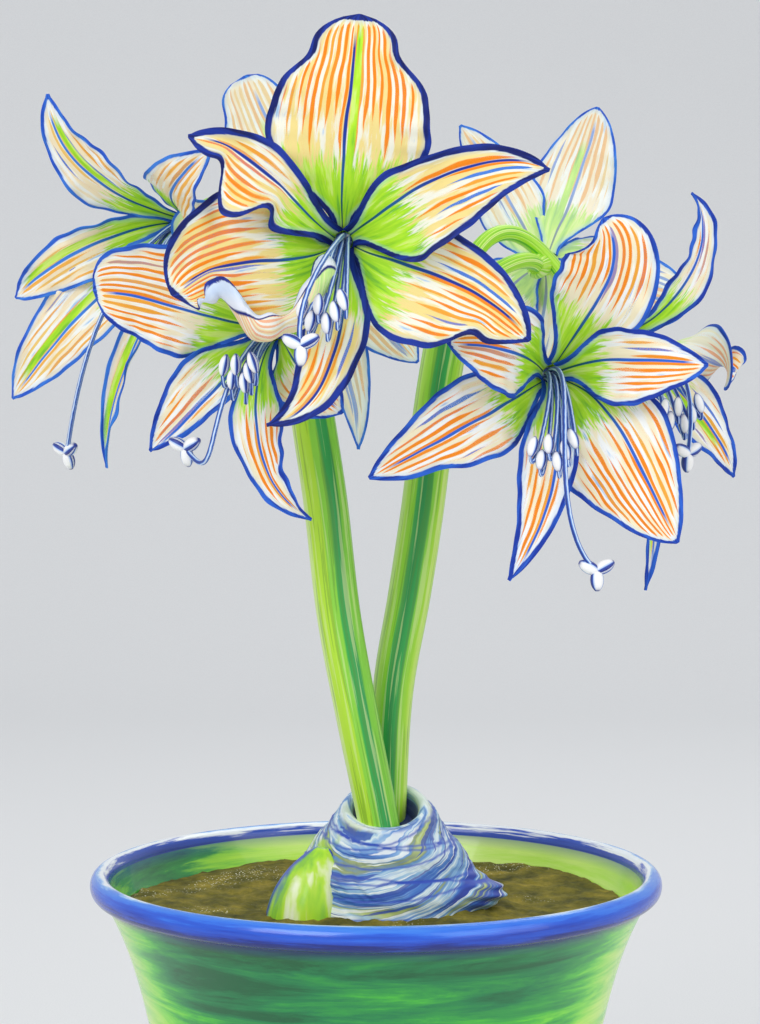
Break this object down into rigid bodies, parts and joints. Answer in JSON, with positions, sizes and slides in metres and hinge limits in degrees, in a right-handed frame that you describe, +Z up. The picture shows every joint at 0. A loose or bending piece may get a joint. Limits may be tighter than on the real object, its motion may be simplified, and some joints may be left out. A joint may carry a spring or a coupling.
{
  "type": "potted amaryllis",
  "caption": "Potted amaryllis: flared glazed pot with a rolled rim, papery bulb half out of the soil, leafless stalks and striped trumpet blooms.",
  "frame": {"origin": "centre of the pot's flat foot, on the surface it stands on", "axes": "+Z up, +X to the right and -Y towards the viewer of the picture"},
  "size_m": [0.3583, 0.3219, 0.5973],
  "materials": {
    "glaze": "gloss glaze, green outside, lime inside, cobalt-blue rim",
    "soil": "matt, crumbly potting mix",
    "tunic": "dry papery skins in blue, white and olive",
    "young_bulb": "satin, fresh lime green",
    "stalk": "satin, lime with darker green bands",
    "petal": "satin, cream-white with orange stripes, lime throat and blue margins",
    "stamen": "satin, pale blue threads, white anthers"
  },
  "bodies": {
    "root": {"pot": "glaze", "soil": "soil", "bulb": "tunic", "young_bulb": "young_bulb", "stalk_left": "stalk", "stalk_right": "stalk", "petals_left_front": "petal", "stamens_left_front": "stamen", "petals_left_low": "petal", "stamens_left_low": "stamen", "petals_left_far": "petal", "stamens_left_far": "stamen", "petals_left_back": "petal", "stamens_left_back": "stamen", "petals_right_front": "petal", "stamens_right_front": "stamen", "petals_right_side": "petal", "stamens_right_side": "stamen", "petals_right_back": "petal", "stamens_right_back": "stamen"}
  },
  "joints": []
}
